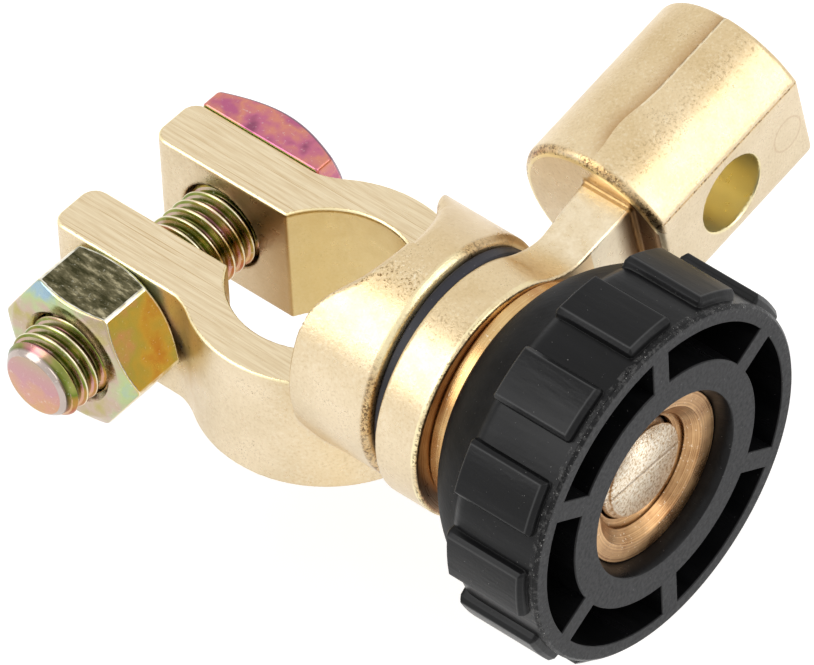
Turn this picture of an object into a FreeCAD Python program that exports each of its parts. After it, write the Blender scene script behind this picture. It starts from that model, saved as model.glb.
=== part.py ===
"""Quick-disconnect switch for a car battery's terminal, in millimetres.

A split casting clamps on the battery's post. It carries a threaded stud, and round the stud an
insulated casting, the terminal arm, holds a dummy post for the car's own cable. A knob with a
brass thread presses a brass washer on the arm, which joins the two castings. Loosened by a few
turns, it parts them.

Frame: the origin is the centre of the post bore on the clamp's lower face. +Z is up along the
battery's post, +X runs out along the stud to the knob, and +Y runs along the clamp bolt.
"""
import FreeCAD, Part
import math
import os

from FreeCAD import Vector

# Clamp body
clamp_height = 12.6
post_bore_radius = 8.1
ring_radius = 12.1
ring_shift = 0.4
ear_gap = 7.4
ear_thickness = 5.5
ear_corner_radius = 1.5

# Boss that carries the stud, with room for the top of the battery's post
boss_radius = 11.4
boss_start = 6.25
boss_end = 14.9
boss_rim_chamfer = 0.7
post_room_radius = 10.0
stud_height = 12.5
stud_radius = 4.65
stud_seat_depth = 3.6
stud_end = 35.3

# Insulating bush: a flange between the castings and a sleeve inside the arm's eye
flange_radius = 10.6
flange_thickness = 1.3
sleeve_radius = 6.0
stud_clearance = 0.12
sleeve_setback = 0.25
sleeve_clearance = 0.15

# Terminal arm, a little raised at rest, with its eye clamped off centre on the bush
arm_angle = 10.6
eye_radius = 11.15
eye_thickness = 4.6
eye_offset = 0.9
arm_half_height = 5.9
arm_flare = 0.7
arm_blend = 3.0
dummy_post_radius = 8.6
dummy_post_axis = 16.35
dummy_post_start = 17.5
dummy_post_length = 18.5
dummy_post_flat = 7.25
dummy_post_edge = 0.6
lug_hole_radius = 3.65
lug_hole_place = 8.6

# Contact washer, swaged on the insert's spigot so that it turns freely
washer_radius = 10.35
washer_thickness = 1.5
spigot_radius = 6.2
spigot_clearance = 0.1
spigot_setback = 0.3
swage_depth = 0.6

# Threaded insert in the knob
insert_radius = 8.1
insert_end = 36.2
thread_clearance = 0.1
mouth_radius = 5.4
mouth_depth = 1.6
cone_radius = 6.5
cone_depth = 1.05

# Knob
knob_end = 37.7
knob_rear_radius = 12.0
knob_rear_edge = 0.8
knob_radius = 16.6
shoulder_end = 28.6
shoulder_steps = 4
knob_front_edge = 0.4
rim_thickness = 1.55
hub_radius = 11.6
hub_mouth_radius = 8.75
floor_thickness = 3.9
spoke_count = 6
spoke_width = 2.0
spoke_angle = 30.0
grip_count = 12
grip_height = 0.85
grip_start = 28.4
grip_front_setback = 0.9
grip_angle = 18.0
grip_bevel = 0.45

# Clamp bolt, M8 with a square head, and its hexagon nut
bolt_gap = 3.25
bolt_setback = 7.45
bolt_height = 6.25
bolt_radius = 4.0
bolt_hole_radius = 4.25
bolt_reach = 11.0
bolt_end_chamfer = 0.9
head_width = 13.0
head_height = 3.9
head_face_radius = 5.8
nut_width = 13.0
nut_height = 6.7
nut_face_radius = 6.1
nut_bore_clearance = 0.06
nut_turn = -3.0
chamfer_angle = 30.0

X_AXIS = Vector(1, 0, 0)
Y_AXIS = Vector(0, 1, 0)
Z_AXIS = Vector(0, 0, 1)
OVERRUN = 5.0

ear_outer = ear_gap / 2 + ear_thickness
bolt_place = ring_radius - ring_shift + bolt_gap
ear_reach = bolt_place + bolt_setback
arm_back = boss_end + flange_thickness
arm_front = arm_back + eye_thickness
knob_back = arm_front + washer_thickness
window_outer_radius = knob_radius - rim_thickness
grip_radius = knob_radius + grip_height


def stud_line(x):
    """Point on the stud's axis."""
    return Vector(x, 0, stud_height)


def disc_on_stud(radius, start, end, y=0.0):
    """Cylinder along the stud from one place to another."""
    return Part.makeCylinder(radius, end - start, Vector(start, y, stud_height), X_AXIS)


def turned(points):
    """Solid turned about the stud's axis from (place, radius) points."""
    corners = [Vector(x, 0, stud_height + r) for x, r in points]
    outline = Part.makePolygon(corners + corners[:1])
    return Part.Face(outline).revolve(stud_line(0), X_AXIS, 360)


def bolt_disc(radius, start, end):
    """Cylinder along the clamp bolt's axis."""
    return Part.makeCylinder(radius, end - start, Vector(-bolt_place, start, bolt_height), Y_AXIS)


def edges_where(shape, test):
    """Edges of a shape whose middle passes a test."""
    return [edge for edge in shape.Edges if test(edge.CenterOfMass, edge)]


def ear(side):
    """One ear of the clamp, with rounded tip corners; side is +1 or -1 along Y."""
    low = ear_gap / 2 if side > 0 else -ear_outer
    block = Part.makeBox(ear_reach, ear_thickness, clamp_height, Vector(-ear_reach, low, 0))
    tips = edges_where(block, lambda c, e: abs(c.x + ear_reach) < 0.01 and abs(c.z - clamp_height / 2) < 0.01)
    return block.makeFillet(ear_corner_radius, tips)


def boss():
    """Round boss along the stud, its top cut back for the battery's post."""
    solid = disc_on_stud(boss_radius, boss_start, boss_end)
    rim = edges_where(solid, lambda c, e: abs(c.x - boss_end) < 0.01 and e.Length > boss_radius)
    solid = solid.makeChamfer(boss_rim_chamfer, rim)
    room = Part.makeCylinder(post_room_radius, 2 * boss_radius, Vector(0, 0, clamp_height), Z_AXIS)
    return solid.cut(room)


def clamp_body():
    """Split clamp ring with two ears and the boss, cast in one piece and bored for the stud."""
    ring = Part.makeCylinder(ring_radius, clamp_height, Vector(ring_shift, 0, 0), Z_AXIS)
    plate = ring.fuse([ear(1), ear(-1)]).removeSplitter()
    gap = Part.makeBox(ear_reach + OVERRUN, ear_gap, clamp_height, Vector(-ear_reach - OVERRUN, -ear_gap / 2, 0))
    body = plate.cut(gap).fuse(boss()).removeSplitter()
    bore = Part.makeCylinder(post_bore_radius, clamp_height, Vector(0, 0, 0), Z_AXIS)
    bolt_hole = bolt_disc(bolt_hole_radius, -ear_outer - OVERRUN, ear_outer + OVERRUN)
    seat = disc_on_stud(stud_radius, boss_end - stud_seat_depth, boss_end + OVERRUN)
    return body.cut([bore, bolt_hole, seat])


def stud():
    """Plain stand-in for the threaded stud, at the thread's mean radius, pressed in the boss."""
    return disc_on_stud(stud_radius, boss_end - stud_seat_depth, stud_end)


def insulating_bush():
    """Flanged bush that keeps the arm's eye off the boss and off the stud."""
    bore = stud_radius + stud_clearance
    sleeve_end = arm_front - sleeve_setback
    return turned([
        (boss_end, bore),
        (sleeve_end, bore),
        (sleeve_end, sleeve_radius),
        (arm_back, sleeve_radius),
        (arm_back, flange_radius),
        (boss_end, flange_radius),
    ])


def arm_bar():
    """Flat bar from the eye to the dummy post, blended into the eye."""
    half = arm_half_height
    end = dummy_post_start + dummy_post_edge
    corners = [(arm_front, 0), (arm_front, end), (arm_back - arm_flare, end), (arm_back, eye_radius), (arm_back, 0)]
    points = [Vector(x, y, stud_height - half) for x, y in corners]
    return Part.Face(Part.makePolygon(points + points[:1])).extrude(Vector(0, 0, 2 * half))


def dummy_post():
    """Post for the car's cable clamp, with a flat; its two lengths meet at the cross hole's middle."""
    start = Vector(dummy_post_axis, dummy_post_start, stud_height)
    middle = start + Vector(0, lug_hole_place, 0)
    near = Part.makeCylinder(dummy_post_radius, lug_hole_place, start, Y_AXIS)
    far = Part.makeCylinder(dummy_post_radius, dummy_post_length - lug_hole_place, middle, Y_AXIS)
    post = near.fuse(far)
    beyond = Vector(dummy_post_axis + dummy_post_flat, dummy_post_start - OVERRUN, stud_height - dummy_post_radius)
    slab = Part.makeBox(dummy_post_radius, dummy_post_length + 2 * OVERRUN, 2 * dummy_post_radius, beyond)
    post = post.cut(slab)
    ends = edges_where(post, lambda c, e: e.BoundBox.YLength < 0.01 and abs(c.y - middle.y) > 0.01)
    return post.makeChamfer(dummy_post_edge, ends)


def lug_hole():
    """Cutter for the cross hole, square to the flat."""
    start = Vector(dummy_post_axis - dummy_post_radius - OVERRUN, dummy_post_start + lug_hole_place, stud_height)
    return Part.makeCylinder(lug_hole_radius, 2 * (dummy_post_radius + OVERRUN), start, X_AXIS)


def terminal_arm():
    """Eye, bar and dummy post cast in one piece."""
    eye = disc_on_stud(eye_radius, arm_back, arm_front, -eye_offset)
    casting = eye.fuse(arm_bar()).removeSplitter()
    casting = casting.makeFillet(arm_blend, edges_where(casting, on_blend))
    casting = casting.fuse(dummy_post())
    eye_bore = sleeve_radius + eye_offset + sleeve_clearance
    bore = disc_on_stud(eye_bore, arm_back - OVERRUN, arm_front + OVERRUN, -eye_offset)
    casting = casting.cut([bore, lug_hole()])
    casting.rotate(stud_line(0), X_AXIS, arm_angle)
    return casting


def on_blend(centre, edge):
    """True for the two straight inner corners between the eye and the bar."""
    reach = math.sqrt(eye_radius ** 2 - arm_half_height ** 2) - eye_offset
    along_stud = edge.BoundBox.XLength > eye_thickness - 0.1 and edge.BoundBox.YLength < 0.5
    return along_stud and abs(centre.y - reach) < 0.3


def contact_washer():
    """Turned washer that closes the contact; its bore is flared for the swaged spigot."""
    bore = spigot_radius + spigot_clearance
    return turned([
        (arm_front, bore + swage_depth),
        (arm_front + swage_depth, bore),
        (knob_back, bore),
        (knob_back, washer_radius),
        (arm_front, washer_radius),
    ])


def knob_insert():
    """Brass thread of the knob: swaged spigot behind, coned mouth in front."""
    bore = stud_radius + thread_clearance
    back = arm_front + spigot_setback
    flare = swage_depth - spigot_setback
    return turned([
        (back, bore),
        (insert_end - mouth_depth, bore),
        (insert_end - mouth_depth, mouth_radius),
        (insert_end - cone_depth, mouth_radius),
        (insert_end, cone_radius),
        (insert_end, insert_radius),
        (knob_back, insert_radius),
        (knob_back, spigot_radius),
        (back + flare, spigot_radius),
        (back, spigot_radius + flare),
    ])


def knob_core():
    """Knob without its windows and grips: rounded shoulder behind, plain rim in front."""
    rear = knob_back + knob_rear_edge
    run = shoulder_end - rear
    rise = knob_radius - knob_rear_radius
    bend = (run ** 2 + rise ** 2) / (2 * rise)
    sweep = math.atan2(run, bend - rise)
    shoulder = []
    for step in range(shoulder_steps + 1):
        angle = sweep * (1 - step / shoulder_steps)
        shoulder.append((shoulder_end - bend * math.sin(angle), knob_radius - bend * (1 - math.cos(angle))))
    return turned([
        (knob_back, insert_radius),
        (knob_back, knob_rear_radius - knob_rear_edge),
        *shoulder,
        (knob_end - knob_front_edge, knob_radius),
        (knob_end, knob_radius - knob_front_edge),
        (knob_end, hub_mouth_radius),
        (insert_end, insert_radius),
    ])


def window_ring():
    """Cutter for the windows, with the spokes left standing between them."""
    floor = knob_back + floor_thickness
    ring = disc_on_stud(window_outer_radius, floor, knob_end + OVERRUN)
    ring = ring.cut(disc_on_stud(hub_radius, floor, knob_end + OVERRUN))
    spokes = []
    for index in range(spoke_count):
        corner = Vector(floor, 0, stud_height - spoke_width / 2)
        spoke = Part.makeBox(knob_end + OVERRUN - floor, window_outer_radius + OVERRUN, spoke_width, corner)
        spoke.rotate(stud_line(0), X_AXIS, spoke_angle + index * 360.0 / spoke_count)
        spokes.append(spoke)
    return ring.cut(spokes)


def grip():
    """One raised grip pad, bevelled on its four sides, at the knob's side towards +Y."""
    root = knob_radius - rim_thickness / 2
    top = grip_radius + grip_height
    slope = grip_bevel / grip_height
    half_width = knob_radius * math.sin(math.radians(grip_angle / 2))

    def extent(y):
        """Rear end, front end and half width of the pad at one distance from the stud's axis."""
        inset = slope * (y - knob_radius)
        return grip_start + inset, knob_end - grip_front_setback - inset, half_width - inset

    rear, front, width = extent(root)
    top_rear, top_front, top_width = extent(top)
    block = Part.makeWedge(rear, root, -width, -top_width, top_rear, front, top, width, top_width, top_front)
    block.translate(stud_line(0))
    return block.common(disc_on_stud(grip_radius, shoulder_end - OVERRUN, knob_end))


def knob():
    """Moulded knob with six deep windows and twelve grip pads."""
    body = knob_core()
    grips = []
    for index in range(grip_count):
        pad = grip()
        pad.rotate(stud_line(0), X_AXIS, index * 360.0 / grip_count)
        grips.append(pad)
    body = body.fuse(grips)
    return body.cut(window_ring())


def bevelled(prism, face, inward, height, face_radius):
    """Take a prism's corners off at one end with a flat cone about the bolt's axis."""
    spread = face_radius + height / math.tan(math.radians(chamfer_angle))
    start = Vector(-bolt_place, face, bolt_height)
    return prism.common(Part.makeCone(face_radius, spread, height, start, Vector(0, inward, 0)))


def clamp_bolt():
    """Bolt with a square head that the ring's bulge keeps from turning."""
    tip = -ear_outer - bolt_reach
    shank = bolt_disc(bolt_radius, tip, ear_outer)
    end = edges_where(shank, lambda c, e: abs(c.y - tip) < 0.01)
    shank = shank.makeChamfer(bolt_end_chamfer, end)
    half = head_width / 2
    head = Part.makeBox(head_width, head_height, head_width, Vector(-bolt_place - half, ear_outer, bolt_height - half))
    head = bevelled(head, ear_outer + head_height, -1, head_height, head_face_radius)
    return shank.fuse(head)


def clamp_nut():
    """Hexagon nut on the near ear, chamfered on both faces."""
    corner_radius = nut_width / math.sqrt(3)
    corners = []
    for index in range(6):
        angle = math.radians(nut_turn + 60 * index)
        corners.append(Vector(-bolt_place + corner_radius * math.cos(angle), -ear_outer,
                              bolt_height + corner_radius * math.sin(angle)))
    prism = Part.Face(Part.makePolygon(corners + corners[:1])).extrude(Vector(0, -nut_height, 0))
    outer = -ear_outer - nut_height
    prism = bevelled(prism, outer, 1, nut_height, nut_face_radius)
    prism = bevelled(prism, -ear_outer, -1, nut_height, nut_face_radius)
    return prism.cut(bolt_disc(bolt_radius + nut_bore_clearance, outer - OVERRUN, -ear_outer + OVERRUN))


SUB_PARTS = {
    "clamp_body": clamp_body,
    "stud": stud,
    "insulating_bush": insulating_bush,
    "terminal_arm": terminal_arm,
    "contact_washer": contact_washer,
    "knob": knob,
    "knob_insert": knob_insert,
    "clamp_bolt": clamp_bolt,
    "clamp_nut": clamp_nut,
}

os.makedirs("parts", exist_ok=True)
for name, make in SUB_PARTS.items():
    shape = make()
    print(name, "solids", len(shape.Solids), "valid", shape.isValid(), "volume", round(shape.Volume, 1))
    shape.exportStep("parts/" + name + ".step")
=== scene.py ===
"""Battery terminal disconnect switch: its detailed pieces, materials, lights and camera."""
import math

import bpy
import numpy as np
from mathutils import Matrix, Vector


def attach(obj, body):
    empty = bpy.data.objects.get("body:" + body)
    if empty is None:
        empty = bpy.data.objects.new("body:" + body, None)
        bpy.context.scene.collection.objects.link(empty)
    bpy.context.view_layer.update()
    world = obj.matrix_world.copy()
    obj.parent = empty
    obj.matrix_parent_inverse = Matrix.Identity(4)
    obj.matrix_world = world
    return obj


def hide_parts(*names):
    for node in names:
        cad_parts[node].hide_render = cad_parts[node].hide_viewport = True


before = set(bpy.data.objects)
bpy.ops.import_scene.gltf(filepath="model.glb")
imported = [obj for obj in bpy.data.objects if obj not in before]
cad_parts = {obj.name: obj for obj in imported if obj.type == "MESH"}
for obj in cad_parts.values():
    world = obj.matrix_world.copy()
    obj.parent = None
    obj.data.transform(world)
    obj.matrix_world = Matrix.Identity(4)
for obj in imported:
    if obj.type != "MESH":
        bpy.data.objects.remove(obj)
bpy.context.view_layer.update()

# MM turns millimetres into the frame's metres, and CM metres into centimetres for a ramp's 0 to 1
MM = 0.001
CM = 100

# Places and sizes in millimetres, as in the solids
CLAMP_TOP = 12.6
RING_X, RING_R, BORE_R = 0.4, 12.1, 8.1
EAR_TIP, EAR_INNER, EAR_OUTER = -22.4, 3.7, 9.2
BOSS_BACK, BOSS_FACE, BOSS_R = 6.25, 14.9, 11.4
STUD_Z = 12.5
STUD_START, STUD_END = 11.3, 35.3
STUD_R, STUD_ROOT, STUD_PITCH = 4.62, 4.1, 1.5
ARM_BACK, ARM_FRONT = 16.2, 20.8
ARM_ANGLE = math.radians(10.6)
EYE_OFFSET, EYE_R, EYE_BORE = 0.9, 11.15, 7.05
POST_X, POST_R, POST_FLAT = 16.35, 8.6, 23.6
POST_START, POST_END = 17.5, 36.0
LUG_ALONG, LUG_R = 26.1, 3.65
KNOB_BACK, KNOB_FRONT, INSERT_END = 22.3, 37.7, 36.2
WELL_FLOOR, WELL_R, HUB_R = 26.2, 15.05, 11.6
BOLT_X, BOLT_Z, BOLT_TIP = -14.95, 6.25, -20.2
BOLT_R, BOLT_ROOT, BOLT_PITCH = 3.97, 3.28, 1.25
HEAD_HEIGHT, NUT_HEIGHT, HEX_HALF = 3.9, 6.7, 6.5
NUT_TURN = math.radians(27)

# Gap left between turned pieces that touch
GAP = 0.02

# The dummy post's parting line bends here, and is in the scene only
BEND_ALONG, BEND_LENGTH, BEND_DEPTH = 22.5, 2.5, 0.5

# Parts of a turned chamfer's slope along the radius and along the axis
CHAMFER_OUT, CHAMFER_UP = 0.5, 0.866

# Grid steps of the skins
CAST_STEP, ZINC_STEP = 0.27, 0.16


# Shapes

def mesh_object(name, points, faces, normals=None):
    """Object from points in millimetres, smooth, with a normal for each point if given."""
    mesh = bpy.data.meshes.new(name)
    mesh.from_pydata((np.asarray(points) * MM).tolist(), [], faces)
    mesh.polygons.foreach_set("use_smooth", [True] * len(mesh.polygons))
    mesh.update()
    if normals is not None:
        mesh.normals_split_custom_set_from_vertices(np.asarray(normals).tolist())
    obj = bpy.data.objects.new(name, mesh)
    bpy.context.scene.collection.objects.link(obj)
    return obj


def round_union(a, b, r):
    """Union of two distance fields with a hollow fillet of radius r."""
    return np.maximum(r, np.minimum(a, b)) - np.hypot(np.maximum(r - a, 0), np.maximum(r - b, 0))


def round_common(a, b, r):
    """Common part of two distance fields with a rounded edge of radius r."""
    return np.minimum(-r, np.maximum(a, b)) + np.hypot(np.maximum(r + a, 0), np.maximum(r + b, 0))


def gradient(field, p, e=0.02):
    """Slope of a distance field at an array of points."""
    x, y, z = p.T
    return np.stack([
        field(x + e, y, z) - field(x - e, y, z),
        field(x, y + e, z) - field(x, y - e, z),
        field(x, y, z + e) - field(x, y, z - e),
    ], 1) / (2 * e)


def skin(name, field, low, high, step):
    """Smooth closed surface where a distance field is zero, from a grid between two corners.

    Each grid cell that the surface crosses gets one point, at the mean of the places where the
    cell's edges cross it, and each crossed edge gets one face between its four cells.
    """
    axes = [np.arange(a, b + step, step) for a, b in zip(low, high)]
    value = field(*np.meshgrid(*axes, indexing="ij"))
    inside = value < 0
    shape = tuple(n - 1 for n in inside.shape)
    total = np.zeros(shape + (3,))
    count = np.zeros(shape)
    crossings = []
    for axis in range(3):
        lead = [slice(None)] * 3
        tail = [slice(None)] * 3
        lead[axis], tail[axis] = slice(None, -1), slice(1, None)
        a, b = value[tuple(lead)], value[tuple(tail)]
        cross = (a < 0) != (b < 0)
        part = np.where(cross, a / np.where(cross, a - b, 1), 0)
        crossings.append(cross)
        others = [k for k in range(3) if k != axis]
        for m in (0, 1):
            for n in (0, 1):
                cut = [slice(None)] * 3
                cut[others[0]] = slice(m, shape[others[0]] + m)
                cut[others[1]] = slice(n, shape[others[1]] + n)
                hit = cross[tuple(cut)]
                count += hit
                total[..., axis] += np.where(hit, part[tuple(cut)], 0)
                total[..., others[0]] += hit * m
                total[..., others[1]] += hit * n
    active = count > 0
    number = np.full(shape, -1)
    number[active] = np.arange(active.sum())
    corner = np.argwhere(active)
    points = (corner + total[active] / count[active][:, None]) * step + np.array(low)
    faces = []
    for axis in range(3):
        u, v = (axis + 1) % 3, (axis + 2) % 3
        where = np.argwhere(crossings[axis])
        ok = (where[:, u] > 0) & (where[:, v] > 0) & (where[:, u] < shape[u]) & (where[:, v] < shape[v])
        where = where[ok]
        cells = []
        for du, dv in ((1, 1), (0, 1), (0, 0), (1, 0)):
            w = where.copy()
            w[:, u] -= du
            w[:, v] -= dv
            cells.append(number[w[:, 0], w[:, 1], w[:, 2]])
        quads = np.stack(cells, 1)
        out = inside[where[:, 0], where[:, 1], where[:, 2]]
        quads[~out] = quads[~out][:, ::-1]
        faces.append(quads)
    # The points move onto the surface in a few short steps
    for _ in range(4):
        slope = gradient(field, points)
        size = (slope ** 2).sum(1)
        move = field(*points.T) / np.maximum(size, 0.2)
        points = points - np.clip(move, -step / 2, step / 2)[:, None] * slope
    slope = gradient(field, points, 0.03)
    normals = slope / np.maximum(np.linalg.norm(slope, axis=1), 1e-6)[:, None]
    return mesh_object(name, points, np.concatenate(faces).tolist(), normals)


def filleted(corners, steps=5):
    """Points of a closed profile whose (place, radius, fillet) corners are rounded."""
    pts = [np.array(c[:2], float) for c in corners]
    out = []
    for i, corner in enumerate(corners):
        a, b, c = pts[i - 1], pts[i], pts[(i + 1) % len(pts)]
        u, v = (a - b) / np.linalg.norm(a - b), (c - b) / np.linalg.norm(c - b)
        if corner[2] <= 0:
            out.append(b)
            continue
        half = math.acos(max(-1, min(1, float(u @ v)))) / 2
        back = min(corner[2] / math.tan(half), 0.48 * min(np.linalg.norm(a - b), np.linalg.norm(c - b)))
        r = back * math.tan(half)
        centre = b + (u + v) / np.linalg.norm(u + v) * (r / math.sin(half))
        s, e = b + u * back - centre, b + v * back - centre
        for k in range(steps + 1):
            t = k / steps
            w = s * (1 - t) + e * t
            out.append(centre + w / np.linalg.norm(w) * r)
    return np.array(out)


def profile_normals(points):
    """Normals of a closed profile, its longer sides counting for more."""
    side = np.roll(points, -1, 0) - points
    turn = np.stack([-side[:, 1], side[:, 0]], 1)
    both = turn * np.linalg.norm(side, axis=1)[:, None]
    both = both + np.roll(both, 1, 0)
    return both / np.maximum(np.linalg.norm(both, axis=1), 1e-9)[:, None]


def turned_arrays(corners, segments=192):
    """Points, faces and normals of a profile turned about the stud's axis."""
    line = filleted(corners)
    area = np.sum(line[:, 0] * np.roll(line[:, 1], -1) - np.roll(line[:, 0], -1) * line[:, 1])
    if area > 0:
        line = line[::-1]
    slant = profile_normals(line)
    turn = np.linspace(0, 2 * math.pi, segments, endpoint=False)
    cos, sin = np.cos(turn)[:, None], np.sin(turn)[:, None]
    x = np.repeat(line[None, :, 0], segments, 0)
    points = np.stack([x, line[None, :, 1] * cos, STUD_Z + line[None, :, 1] * sin], -1)
    nx = np.repeat(slant[None, :, 0], segments, 0)
    normals = np.stack([nx, slant[None, :, 1] * cos, slant[None, :, 1] * sin], -1)
    n = len(line)
    faces = []
    for i in range(segments):
        j = (i + 1) % segments
        for k in range(n):
            m = (k + 1) % n
            faces.append((i * n + k, j * n + k, j * n + m, i * n + m))
    return points.reshape(-1, 3), faces, normals.reshape(-1, 3)


def turned_piece(name, corners):
    """Piece turned about the stud's axis."""
    return mesh_object(name, *turned_arrays(corners))


def joined(parts):
    """Points, faces and normals of several closed shells as one set."""
    points, faces, normals, base = [], [], [], 0
    for p, f, n in parts:
        points.append(p)
        normals.append(n)
        faces += [tuple(i + base for i in face) for face in f]
        base += len(p)
    return np.concatenate(points), faces, np.concatenate(normals)


def rod(place, envelope, crest, root, pitch, start, end, rows=14, segments=96):
    """Rod along a line with a right-hand thread, rows of points to a pitch; envelope limits its radius."""
    crest_share, root_share = 0.10, 0.86
    count = int((end - start) / pitch * rows) + 1
    s = np.linspace(start, end, count)
    theta = np.linspace(0, 2 * math.pi, segments, endpoint=False)
    S, T = np.meshgrid(s, theta)
    wave = np.abs((S / pitch - T / (2 * math.pi)) % 1 - 0.5) * 2
    height = np.clip((root_share - wave) / (root_share - crest_share), 0, 1)
    height = height * height * (3 - 2 * height) * 0.35 + height * 0.65
    radius = np.minimum(root + (crest - root) * height, envelope(S))
    points = place(S, radius * np.cos(T), radius * np.sin(T))
    caps = place(np.array([end, start]), np.zeros(2), np.zeros(2))
    points = np.concatenate([points.reshape(-1, 3), caps])
    top, bottom = segments * count, segments * count + 1
    faces = []
    for i in range(segments):
        j = (i + 1) % segments
        for k in range(count - 1):
            faces.append((i * count + k, j * count + k, j * count + k + 1, i * count + k + 1))
        faces.append((i * count + count - 1, j * count + count - 1, top))
        faces.append((j * count, i * count, bottom))
    return points, faces


def clamp_field(x, y, z):
    """Split ring, ears and boss."""
    corner = 1.5
    along = np.abs(x - EAR_TIP / 2) + EAR_TIP / 2 + corner
    aside = np.abs(np.abs(y) - (EAR_INNER + EAR_OUTER) / 2) - (EAR_OUTER - EAR_INNER) / 2 + corner
    beyond = np.hypot(np.maximum(along, 0), np.maximum(aside, 0))
    ears = beyond + np.minimum(np.maximum(along, aside), 0) - corner
    plan = round_union(np.hypot(x - RING_X, y) - RING_R, ears, 0.9)
    plan = np.maximum(plan, -np.maximum(np.abs(y) - EAR_INNER, x))
    bore = np.hypot(x, y) - BORE_R
    plan = round_common(plan, -bore, 0.12)
    plate = round_common(plan, np.abs(z - CLAMP_TOP / 2) - CLAMP_TOP / 2, 0.3)
    stud = np.hypot(y, z - STUD_Z)
    boss = round_common(stud - BOSS_R, x - BOSS_FACE, 0.8)
    # The boss's horn over the ring is rounded, and on its far side it also reaches further back
    far = y > 0
    rear = BOSS_BACK - 0.5 * np.clip((z - 14.5) / 3.0, 0, 1) * far
    over_ring, seam = 10.0, 1.8
    back = round_common(rear - x, -np.maximum(np.hypot(x, y) - over_ring, CLAMP_TOP - z), seam)
    tip = np.where(far, 1.5 * np.clip((z - 19) / 2.5, 0, 1), 0.8 * np.clip((z - 20) / 2.5, 0, 1))
    boss = round_common(boss, back, 0.22 + tip)
    boss = round_common(boss, -bore, 0.15)
    body = round_union(plate, boss, 0.2)
    bolt_hole, stud_hole = 4.25, 4.7
    body = round_common(body, bolt_hole - np.hypot(x - BOLT_X, z - BOLT_Z), 0.2)
    return np.maximum(body, -np.maximum(stud - stud_hole, STUD_START - x))


def arm_field(x, y, z):
    """Eye, bar and dummy post, raised by the arm's rest angle."""
    c, s = math.cos(ARM_ANGLE), math.sin(ARM_ANGLE)
    along = y * c + (z - STUD_Z) * s
    across = (z - STUD_Z) * c - y * s
    eye = np.hypot(along + EYE_OFFSET, across)
    bar_half, bar_end, bar_taper = 5.9, 18.4, 0.0993
    bar = np.maximum(np.abs(across) - bar_half, np.maximum(-along, along - bar_end))
    plan = round_union(eye - EYE_R, bar, 2.2)
    back = ARM_BACK - bar_taper * np.maximum(along - EYE_R, 0) - x
    flat = round_common(round_common(plan, x - ARM_FRONT, 0.28), back, 0.35)
    # The post's upper side sinks towards the parting line, slowly behind it and steeply before it
    line_depth, behind, before = 0.14, 1.7, 0.55
    beside = x - POST_X + BEND_DEPTH * np.exp(-((along - BEND_ALONG) / BEND_LENGTH) ** 2)
    soft = before - 0.40 * np.clip((along - 22.0) / 5.0, 0, 1)
    dent = np.where(beside < 0, np.exp(beside / behind), np.clip(1 - beside / soft, 0, 1))
    dent = dent * np.clip((along - POST_START) / 5.0, 0, 1) * line_depth * (across > 0)
    post = round_common(np.hypot(x - POST_X, across) - POST_R + dent, x - POST_FLAT, 0.25)
    post = round_common(post, POST_START - along, 0.9)
    post = round_common(post, along - POST_END, 0.5)
    arm = round_union(flat, post, 0.4)
    arm = round_common(arm, EYE_BORE - eye, 0.3)
    return round_common(arm, LUG_R - np.hypot(along - LUG_ALONG, across), 0.22)


def head_field(x, y, z):
    """Square head with its corners turned off."""
    dx, dz = np.abs(x - BOLT_X) - HEX_HALF, np.abs(z - BOLT_Z) - HEX_HALF
    flat_r = 5.8
    above = y - EAR_OUTER - HEAD_HEIGHT
    block = round_common(dx, dz, 0.45)
    cone = (np.hypot(x - BOLT_X, z - BOLT_Z) - flat_r) * CHAMFER_OUT + above * CHAMFER_UP
    top = round_common(block, cone, 0.3)
    top = round_common(top, above, 0.25)
    return round_common(top, EAR_OUTER - y, 0.2)


def nut_field(x, y, z):
    """Hexagon nut with chamfers on both faces and in its bore."""
    dx, dz = x - BOLT_X, z - BOLT_Z
    r = np.hypot(dx, dz)
    flat_r, mouth_r, bore_r = 6.1, 4.62, 4.08
    sides = []
    for index in range(3):
        a = NUT_TURN + math.radians(60 * index)
        sides.append(np.abs(dx * math.cos(a) + dz * math.sin(a)) - HEX_HALF)
    block = round_common(round_common(sides[0], sides[1], 0.3), sides[2], 0.3)
    for face in (-y - EAR_OUTER - NUT_HEIGHT, y + EAR_OUTER):
        block = round_common(block, (r - flat_r) * CHAMFER_OUT + face * CHAMFER_UP, 0.2)
        block = round_common(block, face, 0.12)
        block = np.maximum(block, (mouth_r - r + face) * 0.707)
    return np.maximum(block, bore_r - r)


# Materials

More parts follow.
